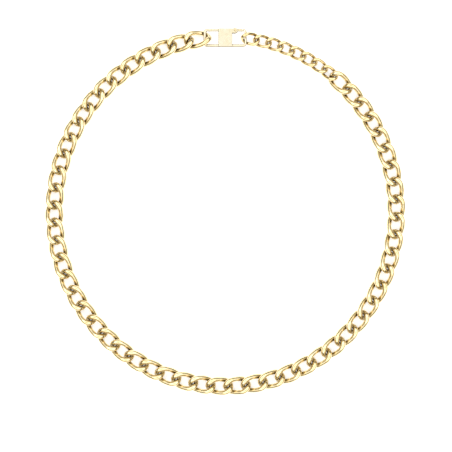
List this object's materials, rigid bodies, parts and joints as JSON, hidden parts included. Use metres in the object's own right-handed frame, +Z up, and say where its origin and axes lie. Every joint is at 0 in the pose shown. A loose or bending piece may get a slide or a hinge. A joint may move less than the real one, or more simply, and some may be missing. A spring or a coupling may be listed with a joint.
{
  "type": "chain necklace",
  "caption": "Gold-tone curb chain necklace laid in a closed ring, with a flat box clasp, a hinged spring gate and a run of smaller extender links.",
  "frame": {"origin": "centre of the laid ring's bounding box, on the surface that it lies on", "axes": "+Z up from the surface, +Y towards the clasp, +X clockwise from the clasp towards the extender links"},
  "size_m": [0.1662, 0.1692, 0.0065],
  "materials": {
    "chain_gold": "polished gold plate",
    "extender_gold": "polished gold plate, slightly deeper tone",
    "clasp_gold": "polished gold plate, plain centre plate",
    "gate_gold": "polished gold plate",
    "pin_gold": "polished gold plate rivet",
    "spring_steel": "thin spring strip"
  },
  "bodies": {
    "small_link_01": {"small_link_01": "extender_gold"},
    "small_link_02": {"small_link_02": "extender_gold"},
    "small_link_03": {"small_link_03": "extender_gold"},
    "small_link_04": {"small_link_04": "extender_gold"},
    "small_link_05": {"small_link_05": "extender_gold"},
    "small_link_06": {"small_link_06": "extender_gold"},
    "small_link_07": {"small_link_07": "extender_gold"},
    "small_link_08": {"small_link_08": "extender_gold"},
    "large_link_01": {"large_link_01": "chain_gold"},
    "large_link_02": {"large_link_02": "chain_gold"},
    "large_link_03": {"large_link_03": "chain_gold"},
    "large_link_04": {"large_link_04": "chain_gold"},
    "large_links_05_06": {"large_links_05_06": "chain_gold"},
    "large_link_07": {"large_link_07": "chain_gold"},
    "large_link_08": {"large_link_08": "chain_gold"},
    "large_link_09": {"large_link_09": "chain_gold"},
    "large_link_10": {"large_link_10": "chain_gold"},
    "large_link_11": {"large_link_11": "chain_gold"},
    "large_link_12": {"large_link_12": "chain_gold"},
    "large_links_13_14": {"large_links_13_14": "chain_gold"},
    "large_link_15": {"large_link_15": "chain_gold"},
    "large_link_16": {"large_link_16": "chain_gold"},
    "large_link_17": {"large_link_17": "chain_gold"},
    "large_link_18": {"large_link_18": "chain_gold"},
    "large_link_19": {"large_link_19": "chain_gold"},
    "large_link_20": {"large_link_20": "chain_gold"},
    "large_links_21_22": {"large_links_21_22": "chain_gold"},
    "large_link_23": {"large_link_23": "chain_gold"},
    "large_link_24": {"large_link_24": "chain_gold"},
    "large_link_25": {"large_link_25": "chain_gold"},
    "large_link_26": {"large_link_26": "chain_gold"},
    "large_link_27": {"large_link_27": "chain_gold"},
    "large_link_28": {"large_link_28": "chain_gold"},
    "large_link_29": {"large_link_29": "chain_gold"},
    "large_link_30": {"large_link_30": "chain_gold"},
    "large_link_31": {"large_link_31": "chain_gold"},
    "large_link_32": {"large_link_32": "chain_gold"},
    "large_links_33_34": {"large_links_33_34": "chain_gold"},
    "large_link_35": {"large_link_35": "chain_gold"},
    "large_link_36": {"large_link_36": "chain_gold"},
    "large_link_37": {"large_link_37": "chain_gold"},
    "large_link_38": {"large_link_38": "chain_gold"},
    "large_link_39": {"large_link_39": "chain_gold"},
    "large_link_40": {"large_link_40": "chain_gold"},
    "large_links_41_42": {"large_links_41_42": "chain_gold"},
    "large_link_43": {"large_link_43": "chain_gold"},
    "large_link_44": {"large_link_44": "chain_gold"},
    "large_link_45": {"large_link_45": "chain_gold"},
    "large_link_46": {"large_link_46": "chain_gold"},
    "large_link_47": {"large_link_47": "chain_gold"},
    "large_links_48_49": {"large_links_48_49": "chain_gold"},
    "large_link_50": {"large_link_50": "chain_gold"},
    "large_link_51": {"large_link_51": "chain_gold"},
    "large_link_52": {"large_link_52": "chain_gold"},
    "large_link_53": {"large_link_53": "chain_gold"},
    "large_link_54": {"large_link_54": "chain_gold"},
    "clasp": {"clasp_body": "clasp_gold", "gate_pin": "pin_gold", "gate_spring": "spring_steel"},
    "gate": {"clasp_gate": "gate_gold"}
  },
  "joints": [
    {"name": "gate_hinge", "type": "hinge", "parent": "clasp", "child": "gate", "pos_m": [0.0046, 0.08341, 0.00328], "axis": [0, 0, 1], "range_deg": [-20, 0], "stiffness_Nm_per_rad": 0.002, "springref_deg": 28.65},
    {"name": "clasp_fold", "type": "hinge", "parent": "large_link_54", "child": "clasp", "pos_m": [-0.00945, 0.08011, 0.00328], "axis": [0, 1, 0], "range_deg": [-30, 30]},
    {"name": "twist_small_link_01", "type": "hinge", "parent": "small_link_02", "child": "small_link_01", "pos_m": [0.01439, 0.07925, 0.00265], "axis": [-0.9829, 0.1484, 0.1093], "range_deg": [-6, 6]},
    {"name": "twist_small_link_02", "type": "hinge", "parent": "small_link_03", "child": "small_link_02", "pos_m": [0.02, 0.07797, 0.00227], "axis": [0.9788, -0.1851, -0.0877], "range_deg": [-6, 6]},
    {"name": "twist_small_link_03", "type": "hinge", "parent": "small_link_04", "child": "small_link_03", "pos_m": [0.02549, 0.07629, 0.00209], "axis": [-0.9727, 0.2216, 0.0691], "range_deg": [-6, 6]},
    {"name": "twist_small_link_04", "type": "hinge", "parent": "small_link_05", "child": "small_link_04", "pos_m": [0.03085, 0.0742, 0.00203], "axis": [0.9647, -0.2576, -0.0545], "range_deg": [-6, 6]},
    {"name": "twist_small_link_05", "type": "hinge", "parent": "small_link_06", "child": "small_link_05", "pos_m": [0.03604, 0.07172, 0.00203], "axis": [-0.955, 0.2932, 0.0438], "range_deg": [-6, 6]},
    {"name": "twist_small_link_06", "type": "hinge", "parent": "small_link_07", "child": "small_link_06", "pos_m": [0.04103, 0.06887, 0.00208], "axis": [0.9439, -0.3283, -0.0351], "range_deg": [-6, 6]},
    {"name": "twist_small_link_07", "type": "hinge", "parent": "small_link_08", "child": "small_link_07", "pos_m": [0.0458, 0.06566, 0.00239], "axis": [-0.9316, 0.3629, 0.0224], "range_deg": [-6, 6]},
    {"name": "turn_small_link_08", "type": "hinge", "parent": "large_link_01", "child": "small_link_08", "pos_m": [0.04938, 0.063, 0.00288], "axis": [0.4112, 0.4394, 0.7986], "range_deg": [-36, 36]},
    {"name": "turn_large_link_01", "type": "hinge", "parent": "large_link_02", "child": "large_link_01", "pos_m": [0.05719, 0.05569, 0.00288], "axis": [0.4112, 0.4394, -0.7986], "range_deg": [-36, 36]},
    {"name": "turn_large_link_02", "type": "hinge", "parent": "large_link_03", "child": "large_link_02", "pos_m": [0.06081, 0.05153, 0.00288], "axis": [0.4912, 0.3478, 0.7986], "range_deg": [-36, 36]},
    {"name": "turn_large_link_03", "type": "hinge", "parent": "large_link_04", "child": "large_link_03", "pos_m": [0.067, 0.0428, 0.00288], "axis": [-0.4912, -0.3478, 0.7986], "range_deg": [-36, 36]},
    {"name": "turn_large_link_04", "type": "hinge", "parent": "large_links_05_06", "child": "large_link_04", "pos_m": [0.06972, 0.038, 0.00288], "axis": [-0.5505, -0.2431, -0.7986], "range_deg": [-36, 36]},
    {"name": "turn_large_link_54", "type": "hinge", "parent": "large_link_53", "child": "large_link_54", "pos_m": [-0.01797, 0.07857, 0.00333], "axis": [-0.1188, 0.7336, 0.6691], "range_deg": [-30, 30]},
    {"name": "turn_large_link_53", "type": "hinge", "parent": "large_link_52", "child": "large_link_53", "pos_m": [-0.02328, 0.0771, 0.00313], "axis": [-0.1952, 0.5396, -0.819], "range_deg": [-30, 30]},
    {"name": "turn_large_link_52", "type": "hinge", "parent": "large_link_51", "child": "large_link_52", "pos_m": [-0.03324, 0.07319, 0.00293], "axis": [-0.2431, 0.5807, 0.777], "range_deg": [-30, 30]},
    {"name": "turn_large_link_51", "type": "hinge", "parent": "large_link_50", "child": "large_link_51", "pos_m": [-0.03814, 0.07066, 0.00288], "axis": [-0.33, 0.5033, -0.7986], "range_deg": [-30, 30]},
    {"name": "turn_large_link_50", "type": "hinge", "parent": "large_links_48_49", "child": "large_link_50", "pos_m": [-0.04709, 0.06479, 0.00288], "axis": [0.33, -0.5033, -0.7986], "range_deg": [-36, 36]},
    {"name": "twist_large_link_24", "type": "hinge", "parent": "large_link_25", "child": "large_link_24", "pos_m": [0.00131, -0.08048, 0.00288], "axis": [-0.9999, -0.0169, 0], "range_deg": [-12, 12]},
    {"name": "twist_large_link_26", "type": "hinge", "parent": "large_link_25", "child": "large_link_26", "pos_m": [-0.00678, -0.08019, 0.00288], "axis": [0.9961, -0.0877, 0], "range_deg": [-12, 12]},
    {"name": "twist_large_link_23", "type": "hinge", "parent": "large_link_24", "child": "large_link_23", "pos_m": [0.00939, -0.07992, 0.00288], "axis": [0.9926, 0.1213, 0], "range_deg": [-12, 12]},
    {"name": "twist_large_links_21_22", "type": "hinge", "parent": "large_link_23", "child": "large_links_21_22", "pos_m": [0.01737, -0.07852, 0.00288], "axis": [-0.9745, -0.2242, 0], "range_deg": [-12, 12]},
    {"name": "twist_large_link_20", "type": "hinge", "parent": "large_links_21_22", "child": "large_link_20", "pos_m": [0.03267, -0.07327, 0.00288], "axis": [0.9072, 0.4207, 0], "range_deg": [-12, 12]},
    {"name": "twist_large_link_19", "type": "hinge", "parent": "large_link_20", "child": "large_link_19", "pos_m": [0.03983, -0.06948, 0.00288], "axis": [-0.8589, -0.5121, 0], "range_deg": [-12, 12]},
    {"name": "turn_large_link_18", "type": "hinge", "parent": "large_link_19", "child": "large_link_18", "pos_m": [0.04765, -0.06426, 0.00288], "axis": [0.3344, -0.5003, 0.7986], "range_deg": [-36, 36]},
    {"name": "turn_large_link_17", "type": "hinge", "parent": "large_link_18", "child": "large_link_17", "pos_m": [0.05189, -0.06074, 0.00288], "axis": [0.4291, -0.422, -0.7986], "range_deg": [-36, 36]},
    {"name": "turn_large_link_16", "type": "hinge", "parent": "large_link_17", "child": "large_link_16", "pos_m": [0.0594, -0.05312, 0.00288], "axis": [-0.4291, 0.422, -0.7986], "range_deg": [-36, 36]},
    {"name": "turn_large_link_15", "type": "hinge", "parent": "large_link_16", "child": "large_link_15", "pos_m": [0.06285, -0.04881, 0.00288], "axis": [-0.505, 0.3274, 0.7986], "range_deg": [-36, 36]},
    {"name": "turn_large_links_13_14", "type": "hinge", "parent": "large_link_15", "child": "large_links_13_14", "pos_m": [0.06867, -0.03983, 0.00288], "axis": [-0.505, 0.3274, -0.7986], "range_deg": [-36, 36]},
    {"name": "turn_large_link_12", "type": "hinge", "parent": "large_links_13_14", "child": "large_link_12", "pos_m": [0.07428, -0.02744, 0.00288], "axis": [-0.579, 0.1641, 0.7986], "range_deg": [-36, 36]},
    {"name": "turn_large_link_11", "type": "hinge", "parent": "large_link_12", "child": "large_link_11", "pos_m": [0.0772, -0.01714, 0.00288], "axis": [0.579, -0.1641, 0.7986], "range_deg": [-36, 36]},
    {"name": "turn_large_link_10", "type": "hinge", "parent": "large_link_11", "child": "large_link_10", "pos_m": [0.07817, -0.01172, 0.00288], "axis": [0.6, -0.0472, -0.7986], "range_deg": [-36, 36]},
    {"name": "turn_large_link_09", "type": "hinge", "parent": "large_link_10", "child": "large_link_09", "pos_m": [0.07901, -0.00105, 0.00288], "axis": [0.6, -0.0472, 0.7986], "range_deg": [-36, 36]},
    {"name": "turn_large_link_08", "type": "hinge", "parent": "large_link_09", "child": "large_link_08", "pos_m": [0.0789, 0.00446, 0.00288], "axis": [0.5976, 0.0713, -0.7986], "range_deg": [-36, 36]},
    {"name": "turn_large_link_07", "type": "hinge", "parent": "large_link_08", "child": "large_link_07", "pos_m": [0.07763, 0.01509, 0.00288], "axis": [-0.5976, -0.0713, -0.7986], "range_deg": [-36, 36]},
    {"name": "turn_large_links_05_06", "type": "hinge", "parent": "large_link_07", "child": "large_links_05_06", "pos_m": [0.07644, 0.02047, 0.00288], "axis": [-0.5719, -0.1873, 0.7986], "range_deg": [-36, 36]},
    {"name": "twist_large_link_27", "type": "hinge", "parent": "large_link_26", "child": "large_link_27", "pos_m": [-0.0148, -0.07906, 0.00288], "axis": [-0.9815, 0.1913, 0], "range_deg": [-12, 12]},
    {"name": "twist_large_link_28", "type": "hinge", "parent": "large_link_27", "child": "large_link_28", "pos_m": [-0.02266, -0.0771, 0.00288], "axis": [0.9563, -0.2925, 0], "range_deg": [-12, 12]},
    {"name": "twist_large_link_29", "type": "hinge", "parent": "large_link_28", "child": "large_link_29", "pos_m": [-0.03028, -0.07433, 0.00288], "axis": [-0.9207, 0.3902, 0], "range_deg": [-12, 12]},
    {"name": "twist_large_link_30", "type": "hinge", "parent": "large_link_29", "child": "large_link_30", "pos_m": [-0.03756, -0.07078, 0.00288], "axis": [0.8755, -0.4833, 0], "range_deg": [-12, 12]},
    {"name": "twist_large_link_31", "type": "hinge", "parent": "large_link_30", "child": "large_link_31", "pos_m": [-0.04444, -0.06651, 0.00288], "axis": [-0.8211, 0.5707, 0], "range_deg": [-12, 12]},
    {"name": "twist_large_link_32", "type": "hinge", "parent": "large_link_31", "child": "large_link_32", "pos_m": [-0.05084, -0.06155, 0.00288], "axis": [0.7585, -0.6517, 0], "range_deg": [-12, 12]},
    {"name": "twist_large_links_33_34", "type": "hinge", "parent": "large_link_32", "child": "large_links_33_34", "pos_m": [-0.05671, -0.05597, 0.00288], "axis": [-0.6883, 0.7254, 0], "range_deg": [-12, 12]},
    {"name": "turn_large_link_35", "type": "hinge", "parent": "large_links_33_34", "child": "large_link_35", "pos_m": [-0.06735, -0.0421, 0.00288], "axis": [-0.4941, -0.3435, -0.7986], "range_deg": [-36, 36]},
    {"name": "turn_large_link_36", "type": "hinge", "parent": "large_link_35", "child": "large_link_36", "pos_m": [-0.07002, -0.03728, 0.00288], "axis": [-0.5526, -0.2385, 0.7986], "range_deg": [-36, 36]},
    {"name": "turn_large_link_37", "type": "hinge", "parent": "large_link_36", "child": "large_link_37", "pos_m": [-0.07426, -0.02745, 0.00288], "axis": [0.5526, 0.2385, 0.7986], "range_deg": [-36, 36]},
    {"name": "turn_large_link_38", "type": "hinge", "parent": "large_link_37", "child": "large_link_38", "pos_m": [-0.07593, -0.0222, 0.00288], "axis": [0.5887, 0.1249, -0.7986], "range_deg": [-36, 36]},
    {"name": "turn_large_link_39", "type": "hinge", "parent": "large_link_38", "child": "large_link_39", "pos_m": [-0.07816, -0.01173, 0.00288], "axis": [0.5887, 0.1249, 0.7986], "range_deg": [-36, 36]},
    {"name": "turn_large_link_40", "type": "hinge", "parent": "large_link_39", "child": "large_link_40", "pos_m": [-0.07876, -0.00625, 0.00288], "axis": [0.6018, 0.007, -0.7986], "range_deg": [-36, 36]},
    {"name": "turn_large_links_41_42", "type": "hinge", "parent": "large_link_40", "child": "large_links_41_42", "pos_m": [-0.07889, 0.00445, 0.00288], "axis": [-0.6018, -0.007, -0.7986], "range_deg": [-36, 36]},
    {"name": "turn_large_link_43", "type": "hinge", "parent": "large_links_41_42", "child": "large_link_43", "pos_m": [-0.07704, 0.01793, 0.00288], "axis": [-0.5776, 0.169, 0.7986], "range_deg": [-36, 36]},
    {"name": "turn_large_link_44", "type": "hinge", "parent": "large_link_43", "child": "large_link_44", "pos_m": [-0.07403, 0.0282, 0.00288], "axis": [-0.5776, 0.169, -0.7986], "range_deg": [-36, 36]},
    {"name": "turn_large_link_45", "type": "hinge", "parent": "large_link_44", "child": "large_link_45", "pos_m": [-0.07197, 0.03331, 0.00288], "axis": [-0.5328, 0.2798, 0.7986], "range_deg": [-36, 36]},
    {"name": "turn_large_link_46", "type": "hinge", "parent": "large_link_45", "child": "large_link_46", "pos_m": [-0.067, 0.04278, 0.00288], "axis": [0.5328, -0.2798, 0.7986], "range_deg": [-36, 36]},
    {"name": "turn_large_link_47", "type": "hinge", "parent": "large_link_46", "child": "large_link_47", "pos_m": [-0.06396, 0.04738, 0.00288], "axis": [0.4663, -0.3805, -0.7986], "range_deg": [-36, 36]},
    {"name": "turn_large_links_48_49", "type": "hinge", "parent": "large_link_47", "child": "large_links_48_49", "pos_m": [-0.05719, 0.05567, 0.00288], "axis": [0.4663, -0.3805, 0.7986], "range_deg": [-36, 36]}
  ]
}
